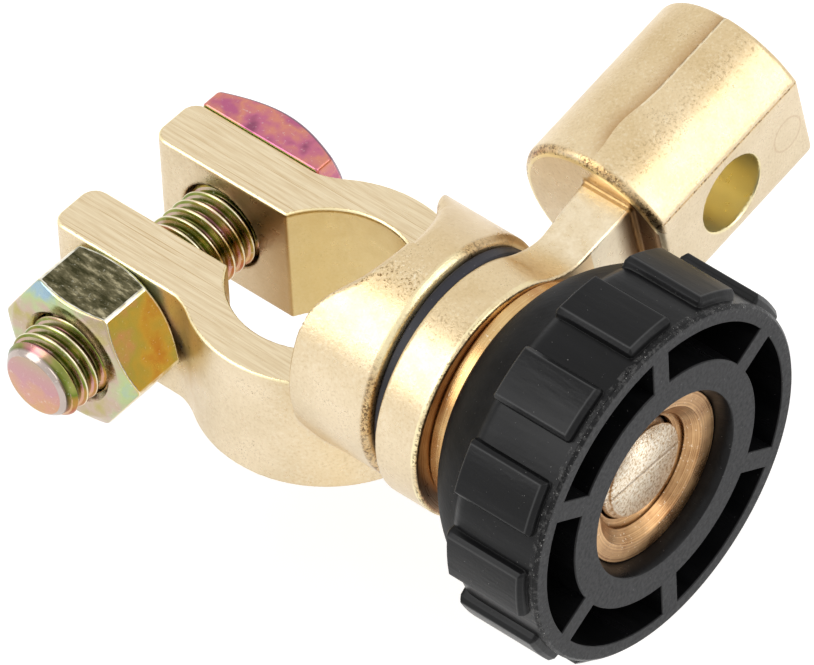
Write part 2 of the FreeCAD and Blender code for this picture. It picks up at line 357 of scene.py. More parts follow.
class Nodes:
    """Node tree of one material, with short ways to add its nodes."""

    def __init__(self, name):
        self.material = bpy.data.materials.new(name)
        self.material.use_nodes = True
        self.tree = self.material.node_tree
        self.shader = self.tree.nodes["Principled BSDF"]
        coordinates = self.add("ShaderNodeTexCoord")
        self.place = coordinates.outputs["Object"]
        self.facing = coordinates.outputs["Normal"]

    def add(self, kind, **settings):
        node = self.tree.nodes.new(kind)
        for key, value in settings.items():
            setattr(node, key, value)
        return node

    def put(self, socket, value):
        if isinstance(value, bpy.types.NodeSocket):
            self.tree.links.new(value, socket)
        else:
            socket.default_value = value

    def math(self, operation, a, b=0.0, clamp=False):
        node = self.add("ShaderNodeMath", operation=operation, use_clamp=clamp)
        self.put(node.inputs[0], a)
        self.put(node.inputs[1], b)
        return node.outputs[0]

    def times(self, a, b, clamp=False):
        return self.math("MULTIPLY", a, b, clamp)

    def plus(self, a, b):
        return self.math("ADD", a, b)

    def minus(self, a, b, clamp=False):
        return self.math("SUBTRACT", a, b, clamp)

    def most(self, a, b):
        return self.math("MAXIMUM", a, b)

    def past(self, place, start):
        """1 past a place in millimetres."""
        return self.math("GREATER_THAN", place, start * MM)

    def before(self, place, end):
        """1 before a place in millimetres."""
        return self.math("LESS_THAN", place, end * MM)

    def split(self, vector=None):
        node = self.add("ShaderNodeSeparateXYZ")
        self.put(node.inputs[0], self.place if vector is None else vector)
        return node.outputs

    def attribute(self, name):
        return self.add("ShaderNodeAttribute", attribute_name=name).outputs["Fac"]

    def vector(self, x, y, z):
        node = self.add("ShaderNodeCombineXYZ")
        for socket, value in zip(node.inputs, (x, y, z)):
            self.put(socket, value)
        return node.outputs[0]

    def stretch(self, x, y, z):
        node = self.add("ShaderNodeMapping")
        self.put(node.inputs["Vector"], self.place)
        node.inputs["Scale"].default_value = (x, y, z)
        return node.outputs[0]

    def noise(self, scale, detail=2.0, rough=0.5, vector=None):
        node = self.add("ShaderNodeTexNoise")
        self.put(node.inputs["Vector"], self.place if vector is None else vector)
        node.inputs["Scale"].default_value = scale
        node.inputs["Detail"].default_value = detail
        node.inputs["Roughness"].default_value = rough
        return node.outputs["Fac"]

    def ramp(self, value, *stops):
        node = self.add("ShaderNodeValToRGB")
        items = node.color_ramp.elements
        while len(items) < len(stops):
            items.new(0.5)
        for item, (where, colour) in zip(items, stops):
            item.position = where
            item.color = colour if isinstance(colour, tuple) else (colour, colour, colour, 1)
        self.put(node.inputs[0], value)
        return node.outputs[0]

    def mix(self, factor, a, b):
        node = self.add("ShaderNodeMix", data_type="RGBA", clamp_factor=True)
        self.put(node.inputs[0], factor)
        self.put(node.inputs[6], a)
        self.put(node.inputs[7], b)
        return node.outputs[2]

    def band(self, value, low, high, soft):
        """1 between two values, with soft sides."""
        up = self.math("DIVIDE", self.minus(value, low), soft, True)
        down = self.math("DIVIDE", self.minus(high, value), soft, True)
        return self.times(up, down)

    def strip(self, place, low, high, soft):
        """1 between two places in millimetres, with soft sides."""
        return self.band(place, low * MM, high * MM, soft * MM)

    def length(self, a, b):
        """Length of a vector with two parts."""
        node = self.add("ShaderNodeVectorMath", operation="LENGTH")
        self.put(node.inputs[0], self.vector(a, b, 0.0))
        return node.outputs["Value"]

    def stud_radius(self):
        """Distance from the stud's axis."""
        y, z = self.split()[1:]
        return self.length(y, self.minus(z, STUD_Z * MM))

    def bump(self, height, strength, distance, normal=None):
        node = self.add("ShaderNodeBump")
        self.put(node.inputs["Height"], height)
        node.inputs["Strength"].default_value = strength
        node.inputs["Distance"].default_value = distance
        if normal is not None:
            self.put(node.inputs["Normal"], normal)
        return node.outputs[0]

    def finish(self, colour, roughness, normal=None, metal=0.0, **constants):
        self.put(self.shader.inputs["Base Color"], colour)
        self.put(self.shader.inputs["Roughness"], roughness)
        self.shader.inputs["Metallic"].default_value = metal
        if normal is not None:
            self.put(self.shader.inputs["Normal"], normal)
        for key, value in constants.items():
            self.shader.inputs[key.replace("_", " ")].default_value = value
        return self.material


def srgb(r, g, b):
    """Linear colour of an 8-bit screen colour."""
    values = []
    for v in (r, g, b):
        v /= 255
        values.append(v / 12.92 if v <= 0.04045 else ((v + 0.055) / 1.055) ** 2.4)
    return (*values, 1.0)


def casting(name, rim, machined, painted_light_and_tints, crinkle_and_glint_span):
    """Pale gold cast metal: fine sand grain, painted glints, and dark specks along worn rims.

    Faces turned towards +X or -Y are painted paler than the tan tops, a painted reflection.
    rim, machined and painted_light_and_tints take the node tree. rim gives a mask for the specks
    and one for painted highlights on edges, machined gives turned or milled faces with their tool
    lines, and painted_light_and_tints gives masks and colours of places, mostly painted shade and
    painted light, a smooth bore first. crinkle_and_glint_span is the span of slope in which the
    grain is coarse and its painted glints and dark specks stronger, and its strength.
    """
    n = Nodes(name)
    nx, ny = n.split(n.facing)[:2]
    large = n.noise(150, 3, 0.6)
    grain = n.noise(3600, 3, 0.65)
    fine = n.noise(8000, 2, 0.6)
    tan = n.ramp(large, (0.3, srgb(216, 190, 144)), (0.7, srgb(232, 210, 170)))
    pale = n.ramp(large, (0.3, srgb(213, 194, 160)), (0.7, srgb(230, 212, 181)))
    # Tops keep the tan tone; faces turned towards +X or -Y are painted paler, a painted reflection of the
    # pale floor
    outward = n.most(nx, n.times(ny, -1.0))
    outward = n.plus(outward, n.times(n.minus(grain, 0.5), 0.4))
    side = n.ramp(outward, (0.72, 0.0), (0.96, 1.0))
    # coarse marks where the painted tan turns into the painted pale side
    coarse = n.times(n.band(outward, crinkle_and_glint_span[0], crinkle_and_glint_span[1], 0.12), crinkle_and_glint_span[2])
    colour = n.mix(side, tan, pale)
    # Painted glints from the grain, and dark specks from the grain that are partly painted shade where the
    # painted tones turn
    painted_glint = n.ramp(grain, (0.54, 0.0), (0.68, 1.0))
    painted_glint = n.times(painted_glint, n.plus(0.18, n.times(coarse, 0.4)))
    colour = n.mix(painted_glint, colour, srgb(252, 244, 220))
    dip = n.ramp(grain, (0.34, 1.0), (0.46, 0.0))
    dip = n.times(dip, n.plus(0.14, n.times(coarse, 0.8)))
    colour = n.mix(dip, colour, srgb(112, 82, 42))
    pits = n.ramp(fine, (0.62, 0.0), (0.66, 0.6))
    pits = n.times(n.ramp(n.noise(300, 2), (0.57, 0.0), (0.66, 1.0)), pits)
    colour = n.mix(pits, colour, srgb(96, 70, 38))
    places = painted_light_and_tints(n)
    for mask, tint in places:
        colour = n.mix(mask, colour, tint)
    smooth = n.times(places[0][0], 0.45)
    calm = n.minus(n.plus(0.5, n.times(coarse, 0.5)), smooth, True)
    worn, edge_highlight = rim(n)
    colour = n.mix(n.times(worn, 0.55), colour, srgb(176, 128, 54))
    # Painted highlights on rounded edges and rims
    colour = n.mix(n.times(edge_highlight, 0.8), colour, srgb(250, 236, 190))
    specks = n.times(worn, n.ramp(grain, (0.50, 0.0), (0.57, 1.0)))
    colour = n.mix(n.times(specks, 0.8), colour, srgb(72, 46, 20))
    crumbs = n.times(worn, n.ramp(fine, (0.60, 0.0), (0.66, 0.8)))
    colour = n.mix(crumbs, colour, srgb(246, 226, 170))
    face, lines, tint, amount = machined(n)
    streak = n.ramp(lines, (0.35, 0.0), (0.65, 1.0))
    shown = n.mix(n.times(streak, amount), tint, srgb(244, 228, 194))
    colour = n.mix(face, colour, shown)
    height = n.plus(n.times(grain, 0.7), n.times(fine, 0.3))
    sand = n.times(height, n.minus(1.0, n.times(face, 0.85)))
    normal = n.bump(n.times(sand, calm), 0.55, 0.00012)
    normal = n.bump(n.times(lines, face), 0.3, 0.00004, normal)
    rough = n.ramp(n.noise(900, 3), (0.3, 0.26), (0.7, 0.36))
    return n.finish(colour, rough, normal, 0.94)


def clamp_rim(n):
    """Wear specks on the boss's rim; painted highlights at its upper left and on the top's rounded edges.
    """
    x, y, z = n.split()
    nz = n.split(n.facing)[2]
    ring = n.strip(x, BOSS_FACE - 0.85, BOSS_FACE + 1.1, 0.3)
    above = n.past(z, STUD_Z + 4.0)
    lit = n.times(n.strip(y, -9.8, 2.2, 1.4), above)
    patch = n.ramp(n.noise(420, 3), (0.40, 0.3), (0.56, 1.0))
    # The wear specks thin out under the rim's painted highlight
    unlit = n.minus(1.0, n.times(lit, 0.85))
    right = n.ramp(n.times(y, CM), (0.2, 1.0), (0.5, 0.3))
    worn = n.times(n.times(ring, patch), n.times(unlit, right))
    # Painted highlights: the top's rounded edges, and the rim's upper left where lit
    edge = n.times(n.strip(z, CLAMP_TOP - 0.32, CLAMP_TOP + 0.1, 0.06), n.band(nz, 0.35, 0.97, 0.1))
    return worn, n.most(edge, n.times(ring, lit))


def clamp_machined(n):
    """Milled upper face with lines along X."""
    z = n.split()[2]
    up = n.math("GREATER_THAN", n.split(n.facing)[2], 0.97)
    face = n.times(n.strip(z, CLAMP_TOP - 0.08, CLAMP_TOP + 0.2, 0.04), up)
    fine = n.noise(1.0, 3, 0.6, n.stretch(200, 3600, 1))
    sparse = n.ramp(n.noise(1.0, 2, 0.5, n.stretch(45, 5200, 1)), (0.31, 0.0), (0.37, 1.0))
    lines = n.times(n.plus(0.25, n.times(fine, 0.65)), sparse)
    return face, lines, srgb(208, 181, 138), 0.8


def clamp_painted_shade_and_light(n):
    """Painted shade in the post bore and the ears' gap's inner ends, painted light on the boss's far side.
    """
    x, y, z = n.split()
    ny = n.split(n.facing)[1]
    # Painted shade on the post bore's wall
    bore = n.ramp(n.times(n.length(x, y), CM), (0.80, 0.9), (0.84, 0.0))
    below = n.before(z, CLAMP_TOP - 0.1)
    # Painted shade at the inner ends of the ears' gap, darker further in
    gap = n.times(n.strip(y, -EAR_INNER - 0.15, EAR_INNER + 0.15, 0.1), below)
    gap = n.times(gap, n.before(x, 0.0))
    deep_shade = n.ramp(n.plus(n.times(x, 50), 1.0), (0.1, 0.0), (0.6, 0.9))
    # Painted light: the boss's upper faces turned towards +Y are paler
    far = n.times(n.ramp(ny, (0.10, 0.0), (0.40, 0.5)), n.minus(1.0, below))
    return [
        (bore, srgb(209, 181, 110)),
        (n.times(gap, deep_shade), srgb(166, 130, 78)),
        (far, srgb(222, 200, 166)),
    ]


def arm_place(n):
    """Place across, along and above the arm's centre line, in metres."""
    x, y, z = n.split()
    c, s = math.cos(ARM_ANGLE), math.sin(ARM_ANGLE)
    lift = n.minus(z, STUD_Z * MM)
    along = n.plus(n.times(y, c), n.times(lift, s))
    above = n.minus(n.times(lift, c), n.times(y, s))
    return x, along, above


def arm_rim(n):
    """Wear specks at the dummy post's near end, on the line beside its flat and on the eye's front rim.

    Painted highlights lie on the post's near-end lip and along the eye's front edge.
    """
    x, along, above = arm_place(n)
    outer = n.length(n.minus(x, POST_X * MM), above)
    end = n.times(n.strip(along, POST_START - 0.3, POST_START + 0.8, 0.3), n.past(outer, POST_R - 0.6))
    before = n.before(along, 13.0)
    low = n.before(along, -0.5)
    eye = n.times(n.strip(x, ARM_FRONT - 0.45, ARM_FRONT + 0.4, 0.2), before)
    patch = n.ramp(n.noise(420, 3), (0.40, 0.35), (0.56, 1.0))
    worn = n.times(n.most(end, n.times(eye, low)), patch)
    side = n.times(n.strip(above, 4.55, 4.78, 0.06), n.past(x, POST_FLAT - 0.4))
    worn = n.most(worn, n.times(side, 0.9))
    # Painted highlights on the post's near-end lip and along the eye's front edge
    lip = n.times(n.strip(along, POST_START - 0.2, POST_START + 0.2, 0.1), n.past(outer, POST_R - 0.9))
    bright = n.times(n.strip(x, ARM_FRONT - 0.6, ARM_FRONT - 0.06, 0.1), n.before(along, 6.0))
    return worn, n.most(n.times(lip, 0.9), n.times(bright, patch))


def arm_machined(n):
    """Turned front face of the eye, browner to its near side."""
    x, along = arm_place(n)[:2]
    face = n.times(n.strip(x, ARM_FRONT - 0.06, ARM_FRONT + 0.4, 0.03), n.before(along, 12.0))
    lines = n.noise(1.0, 3, 0.6, n.vector(n.times(n.stud_radius(), 9000), 0.0, 0.0))
    near = n.ramp(n.times(n.split()[1], -CM), (0.0, srgb(224, 190, 140)), (0.3, srgb(140, 88, 38)))
    return face, lines, near, 0.3


def arm_painted_light_and_marks(n):
    """The lug hole's wall painted yellow as painted light, the pale bar and the ejector mark.

    Painted shade at the bar's root and before the post's parting line, and a painted highlight just past
    it.
    """
    x, along, above = arm_place(n)
    upper = n.past(above, 0.0)
    # Painted light: the lug hole's wall is lightened to yellow
    hole = n.length(n.minus(along, LUG_ALONG * MM), above)
    hole = n.ramp(n.times(hole, CM), (0.37, 1.0), (0.385, 0.0))
    bar = n.times(n.strip(along, 9.5, 17.0, 1.5), n.ramp(n.noise(900, 3), (0.3, 0.3), (0.7, 0.8)))
    bend = n.times(n.minus(along, BEND_ALONG * MM), 1 / (BEND_LENGTH * MM))
    bend = n.math("EXPONENT", n.times(n.times(bend, bend), -1.0))
    beside = n.plus(n.minus(x, POST_X * MM), n.times(bend, BEND_DEPTH * MM))
    # Painted shade on the side that sinks before the parting line
    reach, steepness = 2.2 * MM, 455
    near = n.times(n.plus(beside, reach), steepness, True)
    near = n.times(n.times(near, near), n.before(beside, 0.04))
    run = n.times(n.strip(along, POST_START + 0.5, POST_END + 2.8, 3.0), n.before(along, POST_END - 0.25))
    run = n.times(run, upper)
    # Painted highlight just past the parting line
    ridge = n.times(n.strip(beside, 0.02, 0.32, 0.08), n.past(along, 24.8))
    ejector = 33.5
    mark = n.strip(n.length(n.minus(along, ejector * MM), above), 1.55, 1.85, 0.1)
    # Painted shade in the corner between the bar's front face and the post's near end
    fold_shade = n.times(n.strip(along, 15.0, 19.6, 1.6), n.strip(x, ARM_FRONT - 0.3, POST_FLAT, 0.2))
    fold_shade = n.times(fold_shade, n.before(along, POST_START + 0.15))
    # Painted shade in the fillet at the bar's root, under the post's near end face
    crease_shade = n.strip(along, POST_START - 0.6, POST_START - 0.03, 0.06)
    return [
        (hole, srgb(252, 240, 190)),
        (bar, srgb(248, 234, 206)),
        (n.times(crease_shade, 0.85), srgb(172, 134, 80)),
        (n.times(fold_shade, 0.85), srgb(122, 82, 34)),
        (n.times(n.times(near, run), 0.75), srgb(176, 136, 88)),
        (n.times(n.times(ridge, run), 0.7), srgb(252, 238, 206)),
        (n.times(mark, n.times(n.past(x, POST_FLAT - 0.1), 0.3)), srgb(186, 150, 112)),
    ]


def turned_metal(name, dark, light, rough, along):
    """Turned brass with fine rings; along is how much they change along the axis, beside the radius."""
    n = Nodes(name)
    rings_scale = 7000
    run = n.times(n.split()[0], rings_scale * along)
    run = n.plus(run, n.times(n.stud_radius(), rings_scale))
    rings = n.noise(1.0, 3, 0.7, n.vector(run, 0.0, 0.0))
    cloud = n.noise(260, 3, 0.6)
    spread = n.plus(n.times(rings, 0.55), n.times(cloud, 0.45))
    colour = n.ramp(spread, (0.36, dark), (0.64, light))
    specks = n.ramp(n.noise(4200, 2), (0.66, 0.0), (0.72, 0.6))
    colour = n.mix(specks, colour, srgb(255, 240, 214))
    normal = n.bump(rings, 0.3, 0.00005)
    return n.finish(colour, n.ramp(cloud, (0.3, rough), (0.7, rough + 0.1)), normal, 1.0)


def stud_metal():
    """Pale, rough stud with a faint level line across its end and a darker thread."""
    n = Nodes("stud_end_grain")
    x, _, z = n.split()
    grain = n.noise(3600, 3, 0.7)
    colour = n.ramp(grain, (0.36, srgb(190, 160, 122)), (0.50, srgb(240, 226, 202)),
                    (0.66, srgb(255, 248, 234)))
    waver = n.plus(n.minus(z, (STUD_Z - 0.3) * MM), n.times(n.noise(900, 3), 0.3 * MM))
    line = n.times(n.strip(waver, 0.0, 0.5, 0.2), n.past(x, STUD_END - 0.8))
    colour = n.mix(n.times(line, 0.4), colour, srgb(150, 120, 88))
    thread = n.before(x, STUD_END - 0.45)
    colour = n.mix(n.times(thread, 0.5), colour, srgb(120, 84, 44))
    normal = n.bump(grain, 0.5, 0.00015)
    normal = n.bump(line, 0.6, -0.0001, normal)
    return n.finish(colour, 0.38, normal, 0.9)


def bush_black():
    """Dull blue-black moulded flange with a few pale grains."""
    n = Nodes("bush_black")
    cloud = n.noise(260, 3, 0.6)
    tone = n.ramp(cloud, (0.35, srgb(30, 30, 36)), (0.7, srgb(46, 46, 56)))
    tone = n.mix(n.ramp(n.noise(5200, 2), (0.70, 0.0), (0.74, 0.5)), tone, srgb(130, 128, 130))
    normal = n.bump(n.noise(1500, 3, 0.6), 0.15, 0.00006)
    return n.finish(tone, n.ramp(cloud, (0.3, 0.40), (0.7, 0.5)), normal, Specular_IOR_Level=0.35)


def knob_black():
    """Black moulded plastic: soft flow streaks, pads with painted shade and painted highlights, rough
    front.

    The pads' feet get painted shade and their crests painted highlights; the front is rougher and
    painted lighter grey as a painted sheen.
    """
    n = Nodes("knob_black")
    x = n.split()[0]
    nx = n.split(n.facing)[0]
    flow = n.noise(1.0, 3, 0.6, n.stretch(90, 520, 520))
    shell = n.noise(2600, 3, 0.6)
    fine = n.noise(6500, 2, 0.6)
    tone = n.ramp(flow, (0.34, srgb(7, 7, 8)), (0.66, srgb(20, 20, 21)))
    # The front is painted lighter grey, a painted sheen of the light on it, and is rougher
    front = n.times(n.math("GREATER_THAN", nx, 0.9), n.past(x, KNOB_FRONT - 0.5))
    face = n.ramp(shell, (0.35, srgb(44, 44, 45)), (0.65, srgb(66, 66, 67)))
    tone = n.mix(front, tone, face)
    outer = n.past(n.stud_radius(), 15.8)
    ridge = n.times(n.strip(x, KNOB_FRONT - 0.85, KNOB_FRONT + 0.05, 0.1), outer)
    chips = n.times(ridge, n.ramp(n.noise(1700, 4, 0.7), (0.50, 0.0), (0.62, 1.0)))
    tone = n.mix(n.times(chips, 0.55), tone, srgb(92, 91, 90))
    dust = n.times(ridge, n.ramp(fine, (0.68, 0.0), (0.72, 1.0)))
    dust = n.most(dust, n.ramp(n.noise(5200, 2), (0.75, 0.0), (0.79, 0.6)))
    tone = n.mix(dust, tone, srgb(190, 188, 184))
    # Painted shade at the pads' feet
    tone = n.mix(n.times(n.attribute("foot_shade"), 0.75), tone, srgb(4, 4, 4))
    # Painted highlight on the pads' crests
    tone = n.mix(n.times(n.attribute("crest"), 0.55), tone, srgb(96, 96, 96))
    height = n.plus(n.times(shell, 0.5), n.times(chips, 0.8))
    normal = n.bump(height, 0.3, 0.00008)
    normal = n.bump(flow, 0.25, 0.0003, normal)
    rough = n.ramp(flow, (0.3, 0.38), (0.7, 0.26))
    # The dome between the rear edge and the pads is duller; 0.58 is 29 mm
    dome = n.ramp(n.times(x, 20), (0.567, 1.0), (0.58, 0.0))
    dull = n.most(n.times(front, 0.55), n.times(dome, 0.52))
    rough = n.most(rough, dull)
    gloss = n.minus(0.2, n.times(dome, 0.13))
    n.put(n.shader.inputs["Specular IOR Level"], gloss)
    return n.finish(tone, rough, normal)


def drift(n, scale, *colours):
    """Plating colours that run into each other over the surface."""
    spread = n.plus(n.times(n.noise(scale, 2, 0.5), 0.7),
                    n.times(n.noise(scale * 3.1, 2, 0.5), 0.3))
    stops = [(0.34 + 0.32 * i / (len(colours) - 1), c) for i, c in enumerate(colours)]
    return n.ramp(spread, *stops)


def bolt_radius(n):
    """Distance from the clamp bolt's axis, in millimetres."""
    x, _, z = n.split()
    radius = n.length(n.minus(x, BOLT_X * MM), n.minus(z, BOLT_Z * MM))
    return n.times(radius, 1 / MM)


def plated(n, colour, painted_glint):
    """Fine grain and gloss of zinc plating over its colours, with painted glints from the grain."""
    grain = n.noise(3000, 3, 0.6)
    colour = n.mix(n.ramp(grain, (0.62, 0.0), (0.74, 0.3)), colour, painted_glint)
    normal = n.bump(grain, 0.12, 0.00005)
    return n.finish(colour, n.ramp(grain, (0.3, 0.16), (0.7, 0.28)), normal, 1.0)


def zinc_nut():
    """Yellow zinc on the nut: gold and pink flats, silver blue chamfer and a scuffed top flat.

    The top flat is painted dark as a painted reflection.
    """
    n = Nodes("nut_zinc")
    nx, ny, nz = n.split(n.facing)
    flats = drift(n, 230, srgb(208, 146, 66), srgb(214, 180, 82), srgb(190, 180, 92), srgb(214, 166, 122))
    # The top flat is painted dark as a painted reflection, with pale scuff streaks
    scuff = n.noise(1.0, 4, 0.7, n.stretch(500, 1400, 2600))
    upper = n.ramp(scuff, (0.38, srgb(62, 60, 38)), (0.54, srgb(106, 100, 74)), (0.68, srgb(182, 172, 138)))
    colour = n.mix(n.ramp(nz, (0.86, 0.0), (0.95, 1.0)), flats, upper)
    ends = drift(n, 200, srgb(150, 176, 190), srgb(176, 190, 138), srgb(190, 168, 150), srgb(176, 164, 100))
    tilt = n.math("ABSOLUTE", ny)
    colour = n.mix(n.ramp(tilt, (0.35, 0.0), (0.62, 1.0)), colour, ends)
    # Pale lines along the edges between the flats and round the chamfers, in patches
    turn = n.minus(n.math("ARCTAN2", nz, nx), NUT_TURN)
    between = n.ramp(n.math("COSINE", n.times(turn, 6.0)), (0.0, 1.0), (0.4, 0.0))
    between = n.times(between, n.math("LESS_THAN", tilt, 0.3))
    edges = n.most(between, n.band(tilt, 0.12, 0.40, 0.05))
    edge_patches = n.ramp(n.noise(900, 3), (0.35, 0.3), (0.6, 0.9))
    colour = n.mix(n.times(edges, edge_patches), colour, srgb(252, 248, 234))
    return plated(n, colour, srgb(244, 240, 220))


def zinc_bolt():
    """Yellow zinc on the bolt: green, gold and pink threads, pink head.

    The threads get painted shade in their roots and painted highlights on their crests.
    """
    n = Nodes("bolt_zinc")
    y, z = n.split()[1:]
    ny, nz = n.split(n.facing)[1:]
    radius = bolt_radius(n)
    turn = n.plus(n.times(nz, 0.32), n.times(n.noise(300, 2), 0.7))
    thread = n.ramp(turn, (0.12, srgb(170, 84, 42)), (0.32, srgb(176, 132, 62)), (0.46, srgb(104, 120, 46)),
                    (0.58, srgb(150, 150, 84)), (0.72, srgb(206, 130, 146)))
    # As a share of 5 mm, the thread's root lies at 0.656 and its crest at 0.794
    share = n.math("DIVIDE", radius, 5.0)
    # Painted shade in the thread's roots
    deep_shade = n.ramp(share, (0.655, 0.8), (0.72, 0.0))
    thread = n.mix(deep_shade, thread, srgb(50, 38, 20))
    # Painted highlight on the thread's crests
    thread = n.mix(n.ramp(share, (0.780, 0.0), (0.792, 0.9)), thread, srgb(246, 236, 206))
    swirl = n.plus(n.times(z, 110), n.times(n.noise(420, 2), 0.55))
    tip = n.ramp(swirl, (0.66, srgb(200, 158, 84)), (0.88, srgb(204, 146, 130)), (1.0, srgb(196, 132, 152)))
    tip = n.mix(n.ramp(z, (0.0, 0.0), (7.4 * MM, 0.0), (8.8 * MM, 0.9)), tip, srgb(166, 186, 124))
    end = n.math("LESS_THAN", ny, -0.85)
    colour = n.mix(n.strip(y, BOLT_TIP - 0.8, BOLT_TIP + 0.65, 0.2), thread, srgb(186, 172, 164))
    colour = n.mix(end, colour, tip)
    rose = drift(n, 260, srgb(150, 84, 110), srgb(196, 112, 138), srgb(214, 140, 120), srgb(186, 102, 134))
    rose = n.mix(n.band(ny, 0.25, 0.96, 0.15), rose, srgb(120, 88, 104))
    colour = n.mix(n.past(y, EAR_OUTER + 0.02), colour, rose)
    return plated(n, colour, srgb(250, 244, 232))


# Pieces

def dress(obj, node, body, material):
    """Piece that stands for a node, moves with its body and takes its slot's finish."""
    obj.data.materials.clear()
    obj.data.materials.append(material)
    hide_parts(node)
    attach(obj, body)


def knob_arrays():
    """Shells of the outer wall, core and spokes, with marks for the pads' feet and crests.

    The marks carry painted shade at the feet and painted highlights on the crests.
    """
    rear, rear_r, full_r, shoulder, rise = KNOB_BACK + 0.8, 11.9, 16.6, 29.0, 0.85
    pads, pad_turn = 12, 30
    pad_x, pad_long, pad_wide, corner = 32.6, 4.2, 2.6, 0.4

    def base(x):
        """Radius between the pads: a slightly domed cone, then a softened shoulder."""
        t = (x - rear) / (shoulder - rear)
        cone = rear_r + (full_r - rear_r) * t + 3.0 * t * (1 - np.minimum(t, 1)) ** 2
        short = full_r - cone
        curve = full_r - 0.5 * (short + np.hypot(short, 0.35))
        return np.where(x < rear, rear_r - (rear - x) * 1.5, curve)

    def inside_pad(x, degrees):
        """Distance inwards from the outline of the nearest pad."""
        across = (degrees + pad_turn / 2) % pad_turn - pad_turn / 2
        dx = np.abs(x - pad_x) - pad_long
        dy = np.abs(np.radians(across)) * full_r - pad_wide
        outer = np.hypot(np.maximum(dx + corner, 0), np.maximum(dy + corner, 0))
        return corner - outer - np.minimum(np.maximum(dx, dy) + corner, 0)

    def radius(x, degrees):
        """Radius with the pads, whose tops are level."""
        depth = inside_pad(x, degrees)
        share = np.clip(depth / 0.10, 0, 1) * 0.56 + np.clip((depth - 0.10) / 0.36, 0, 1) * 0.44
        return base(x) + (full_r + rise - base(x)) * share

    # The wall's points stand closer where a pad's side rises and where it turns into the top
    edge = np.array([
        -0.15, -0.05, 0.0, 0.03, 0.07, 0.10, 0.13, 0.20, 0.28, 0.36, 0.43, 0.47, 0.52, 0.60, 0.8,
    ])
    half = np.degrees((pad_wide - edge) / full_r)
    period = np.concatenate([[-14.99, -12.5, -10.5], -half, [-3.5, 0.0, 3.5], half[::-1], [10.5, 12.5]])
    degrees = np.concatenate([period + pad_turn * k for k in range(pads)])
    ends = np.concatenate([pad_x - pad_long + edge, (pad_x + pad_long - edge)[::-1]])
    places = np.unique(np.round(np.concatenate([
        [KNOB_BACK, KNOB_BACK + 0.25, KNOB_BACK + 0.5, rear],
        np.linspace(rear, 28.2, 26), ends, np.linspace(29.5, 35.8, 8), [37.0, 37.25, 37.38],
    ]), 4))
    # The lining closes the wall inside the core
    lining_x, lining_r = (37.2, 28.0, 24.0, 22.5), (16.4, 15.2, 12.2, 10.4)
    X, A = np.meshgrid(np.concatenate([places, lining_x]), degrees)
    R = radius(X, A)
    R[:, len(places):] = lining_r
    turn = np.radians(A)
    outer = np.stack([X, R * np.cos(turn), STUD_Z + R * np.sin(turn)], -1)
    e = 0.01
    slope_x = (radius(X + e, A) - radius(X - e, A)) / (2 * e)
    slope_a = (radius(X, A + e) - radius(X, A - e)) / (2 * math.radians(e)) / R
    ny = np.cos(turn) + slope_a * np.sin(turn)
    nz = np.sin(turn) - slope_a * np.cos(turn)
    normal = np.stack([-slope_x, ny, nz], -1)
    normal /= np.linalg.norm(normal, axis=-1)[..., None]
    rows, cols = X.shape
    faces = []
    for i in range(rows):
        j = (i + 1) % rows
        for k in range(cols):
            m = (k + 1) % cols
            faces.append((j * cols + k, j * cols + m, i * cols + m, i * cols + k))
    wall = (outer.reshape(-1, 3), faces, normal.reshape(-1, 3))
    depth = inside_pad(X, A).reshape(-1)
    # Painted shade marks at the pads' feet
    foot_shade = np.clip(1 - np.abs(depth + 0.03) / 0.12, 0, 1)
    # Painted highlight marks on the pads' crests
    crest = np.clip(1 - np.abs(depth - 0.46) / 0.09, 0, 1)
    core = turned_arrays([
        (KNOB_BACK + GAP, 8.1, 0.0), (KNOB_BACK + GAP, 10.68, 0.05), (KNOB_BACK + 0.7, 11.5, 0.0),
        (24.0, 12.4, 0.0), (28.0, 15.3, 0.0), (37.36, 16.55, 0.0), (37.42, 16.6, 0.05),
        (KNOB_FRONT, 16.3, 0.28), (KNOB_FRONT, WELL_R, 0.12), (28.6, WELL_R, 0.8),
        (WELL_FLOOR, 12.9, 0.3), (WELL_FLOOR, HUB_R, 0.3), (KNOB_FRONT, HUB_R, 0.15),
        (KNOB_FRONT, 8.75, 0.15), (INSERT_END, 8.12, 0.0),
    ], 240)
    spokes = [spoke_arrays(30 + 60 * k) for k in range(6)]
    return joined([wall, core] + spokes), {"foot_shade": foot_shade, "crest": crest}


def knob_piece():
    """Knob with its marks as attributes of its points."""
    arrays, marks = knob_arrays()
    piece = mesh_object("knob_piece", *arrays)
    for name, values in marks.items():
        full = np.zeros(len(arrays[0]))
        full[:len(values)] = values
        piece.data.attributes.new(name, "FLOAT", "POINT").data.foreach_set("value", full)
    return piece


def spoke_arrays(degrees):
    """One spoke across the windows' ring, its front edges slightly rounded."""
    half, edge = 1.0, 0.14
    outline = [(-half, WELL_FLOOR - 0.5), (-half, KNOB_FRONT - edge)]
    for k in range(1, 4):
        a = math.radians(30 * k)
        outline.append((-half + edge * (1 - math.cos(a)), KNOB_FRONT - edge * (1 - math.sin(a))))
    outline += [(-t, x) for t, x in outline[::-1]]
    line = np.array(outline)
    slant = profile_normals(line)
    points, normals = [], []
    c, s = math.cos(math.radians(degrees)), math.sin(math.radians(degrees))
    for r, lift in ((HUB_R - 0.15, 0.0), (WELL_R + 0.12, 1.6)):
        for (t, x), (nt, nx) in zip(line, slant):
            x += lift if x < WELL_FLOOR else 0.0
            points.append((x, r * c - t * s, STUD_Z + r * s + t * c))
            normals.append((nx, -nt * s, nt * c))
    n = len(line)
    faces = [(k, n + k, n + (k + 1) % n, (k + 1) % n) for k in range(n)]
    faces += [tuple(range(n)), tuple(range(n, 2 * n))[::-1]]
    return np.array(points), faces, np.array(normals)


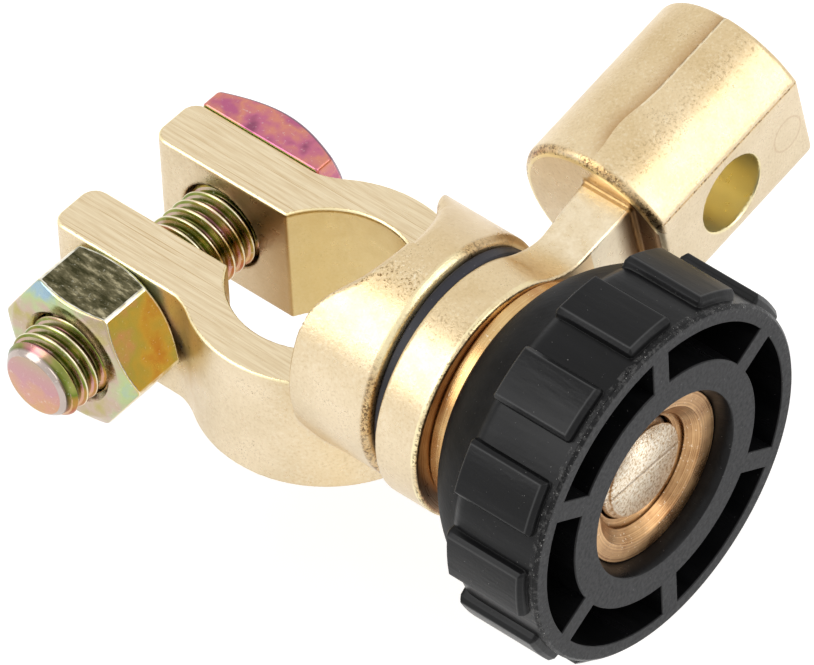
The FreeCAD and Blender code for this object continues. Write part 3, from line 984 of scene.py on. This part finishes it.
def clamp_piece():
    """Split ring with its ears and boss."""
    return skin("clamp_body_piece", clamp_field, (-23.1, -12.9, -0.7), (15.7, 12.9, 24.7), CAST_STEP)


def arm_piece():
    """Terminal arm with the dummy post."""
    return skin("terminal_arm_piece", arm_field, (7.1, -13.1, 0.4), (24.4, 37.9, 29.1), CAST_STEP)


def bush_piece():
    """Flange between the castings, with the sleeve round the stud."""
    back, front, sleeve_end = BOSS_FACE + GAP, ARM_BACK - GAP, 20.55
    bore, sleeve_r, flange_r = 4.78, 6.0, 10.6
    return turned_piece("insulating_bush_piece", [
        (back, bore, 0.1), (sleeve_end, bore, 0.1), (sleeve_end, sleeve_r, 0.2),
        (front, sleeve_r, 0.15), (front, flange_r, 0.25), (back, flange_r, 0.25),
    ])


def washer_piece():
    """Washer between the eye and the knob, wider at the back of its bore."""
    back, front, bore, outer = ARM_FRONT + GAP, KNOB_BACK - GAP, 6.3, 10.35
    return turned_piece("contact_washer_piece", [
        (back, 6.9, 0.0), (21.4, bore, 0.0), (front, bore, 0.1), (front, outer, 0.2), (back, outer, 0.2),
    ])


def insert_piece():
    """Brass insert: its bore, dished front end and the collar that holds the washer."""
    start, collar, back = 21.1, 21.4, KNOB_BACK + GAP
    bore, collar_r, outer = 4.8, 6.2, 8.08
    return turned_piece("knob_insert_piece", [
        (start, bore, 0.05), (34.5, bore, 0.1), (34.6, 5.4, 0.0), (35.15, 5.42, 0.12),
        (INSERT_END - 0.1, 6.47, 0.12), (INSERT_END, outer, 0.1), (back, outer, 0.0),
        (back, collar_r, 0.0), (collar, collar_r, 0.0), (start, 6.5, 0.05),
    ])


def nut_piece():
    """Hexagon nut of the clamp bolt."""
    return skin("clamp_nut_piece", nut_field, (-23.0, -16.2, -1.9), (-6.9, -8.9, 14.4), ZINC_STEP)


def bolt_piece():
    """Clamp bolt: threaded shank and square head."""
    def place(s, a, b):
        return np.stack([BOLT_X + a, EAR_OUTER - s, BOLT_Z + b], -1)

    length = EAR_OUTER - BOLT_TIP

    def envelope(s):
        left = length - s
        return np.minimum(2.7 + np.sqrt(np.maximum(left, 0)) * 0.75 + left * 0.25, 4.0)

    points, faces = rod(place, envelope, BOLT_R, BOLT_ROOT, BOLT_PITCH, 0.0, length, 18)
    thread = mesh_object("bolt_thread", points, faces)
    head = skin("clamp_bolt_piece", head_field, (-22.0, 8.9, -0.9), (-7.9, 13.6, 13.4), ZINC_STEP)
    return merged(head, thread)


def merged(main, *others):
    """One object from several."""
    with bpy.context.temp_override(active_object=main, selected_editable_objects=[main, *others]):
        bpy.ops.object.join()
    return main


def stud_piece():
    """Threaded stud with a chamfered end."""
    def place(s, a, b):
        return np.stack([s, a, STUD_Z + b], -1)

    def envelope(s):
        return np.minimum(4.45 + (STUD_END - s) * 0.9, STUD_R)

    points, faces = rod(place, envelope, STUD_R, STUD_ROOT, STUD_PITCH, STUD_START, STUD_END)
    return mesh_object("stud_piece", points, faces)


def build_pieces():
    """All the pieces, each on its body."""
    dress(clamp_piece(), "clamp_body", "clamp",
          casting("clamp_casting", clamp_rim, clamp_machined, clamp_painted_shade_and_light, (0.12, 0.42, 1.0)))
    dress(arm_piece(), "terminal_arm", "arm",
          casting("arm_casting", arm_rim, arm_machined, arm_painted_light_and_marks, (0.15, 0.5, 0.36)))
    dress(stud_piece(), "stud", "clamp", stud_metal())
    dress(bush_piece(), "insulating_bush", "clamp", bush_black())
    dress(washer_piece(), "contact_washer", "washer",
          turned_metal("washer_gold", srgb(176, 122, 68), srgb(232, 200, 142), 0.2, 1.0))
    dress(insert_piece(), "knob_insert", "knob",
          turned_metal("insert_copper", srgb(116, 74, 40), srgb(222, 180, 130), 0.24, 0.6))
    dress(knob_piece(), "knob", "knob", knob_black())
    dress(bolt_piece(), "clamp_bolt", "bolt", zinc_bolt())
    dress(nut_piece(), "clamp_nut", "nut", zinc_nut())


# Stage, light and camera

def surroundings():
    """World that is white to look at, and dimmer as a light."""
    world = bpy.context.scene.world or bpy.data.worlds.new("studio")
    bpy.context.scene.world = world
    world.use_nodes = True
    tree = world.node_tree
    tree.nodes.clear()
    path = tree.nodes.new("ShaderNodeLightPath")
    seen = tree.nodes.new("ShaderNodeMath")
    seen.operation = "MAXIMUM"
    tree.links.new(path.outputs["Is Camera Ray"], seen.inputs[0])
    tree.links.new(path.outputs["Is Glossy Ray"], seen.inputs[1])
    also = tree.nodes.new("ShaderNodeMath")
    also.operation = "MAXIMUM"
    tree.links.new(seen.outputs[0], also.inputs[0])
    tree.links.new(path.outputs["Is Transmission Ray"], also.inputs[1])
    dim = tree.nodes.new("ShaderNodeBackground")
    dim.inputs["Strength"].default_value = 0.55
    white = tree.nodes.new("ShaderNodeBackground")
    white.inputs["Strength"].default_value = 1.0
    for node in (dim, white):
        node.inputs["Color"].default_value = (1, 1, 1, 1)
    blend = tree.nodes.new("ShaderNodeMixShader")
    tree.links.new(also.outputs[0], blend.inputs[0])
    tree.links.new(dim.outputs[0], blend.inputs[1])
    tree.links.new(white.outputs[0], blend.inputs[2])
    out = tree.nodes.new("ShaderNodeOutputWorld")
    tree.links.new(blend.outputs[0], out.inputs[0])


def pale_floor():
    """Large matt floor that looks white."""
    size, z = 1.2, -0.022
    corners = [(-size, -size, z), (size, -size, z), (size, size, z), (-size, size, z)]
    floor = bpy.data.meshes.new("floor")
    floor.from_pydata(corners, [], [(0, 1, 2, 3)])
    plane = bpy.data.objects.new("floor", floor)
    bpy.context.scene.collection.objects.link(plane)
    n = Nodes("pale_floor")
    n.shader.inputs["Base Color"].default_value = (0.85, 0.85, 0.85, 1)
    n.shader.inputs["Roughness"].default_value = 0.9
    n.shader.inputs["Specular IOR Level"].default_value = 0.0
    path = n.add("ShaderNodeLightPath")
    lit = n.most(path.outputs["Is Camera Ray"], path.outputs["Is Glossy Ray"])
    lit = n.most(lit, path.outputs["Is Transmission Ray"])
    n.shader.inputs["Emission Color"].default_value = (1, 1, 1, 1)
    n.put(n.shader.inputs["Emission Strength"], n.times(lit, 0.5))
    floor.materials.append(n.material)


def lamps():
    """Two soft lamps that face the part: name, place, width, height and power in watts."""
    aim = Vector((0.008, 0.008, 0.01))
    for name, where, width, height, power in (
        ("key", (-0.34, -0.45, 0.46), 0.38, 0.62, 1.75),
        ("side", (0.56, 0.20, 0.48), 0.42, 0.70, 1.55),
    ):
        data = bpy.data.lights.new(name, "AREA")
        data.shape = "RECTANGLE"
        data.size = width
        data.size_y = height
        data.energy = power
        lamp = bpy.data.objects.new(name, data)
        lamp.location = where
        lamp.rotation_mode = "QUATERNION"
        lamp.rotation_quaternion = (Vector(where) - aim).to_track_quat("Z", "Y")
        bpy.context.scene.collection.objects.link(lamp)


def camera():
    """Long lens at the photograph's angle; its focal length is in the photograph's pixels."""
    az, el, roll = math.radians(43.135), math.radians(46.246), math.radians(-3.238)
    focal_pixels, width_pixels, sensor = 13193.0, 814, 36
    distance, shift_right, shift_up = 1.115634, -0.006683, -0.004152
    back = Vector((math.sin(az) * math.cos(el), -math.cos(az) * math.cos(el), math.sin(el)))
    right = Vector((math.cos(az), math.sin(az), 0))
    up = back.cross(right)
    right, up = math.cos(roll) * right + math.sin(roll) * up, math.cos(roll) * up - math.sin(roll) * right
    data = bpy.data.cameras.new("camera")
    data.sensor_width = sensor
    data.lens = focal_pixels / width_pixels * sensor
    data.clip_start, data.clip_end = 0.01, 20
    cam = bpy.data.objects.new("camera", data)
    place = back * distance - right * shift_right - up * shift_up
    cam.matrix_world = Matrix.Translation(place) @ Matrix((right, up, back)).transposed().to_4x4()
    bpy.context.scene.collection.objects.link(cam)
    bpy.context.scene.camera = cam


build_pieces()
surroundings()
pale_floor()
lamps()
camera()
bpy.context.scene.view_settings.view_transform = "Standard"
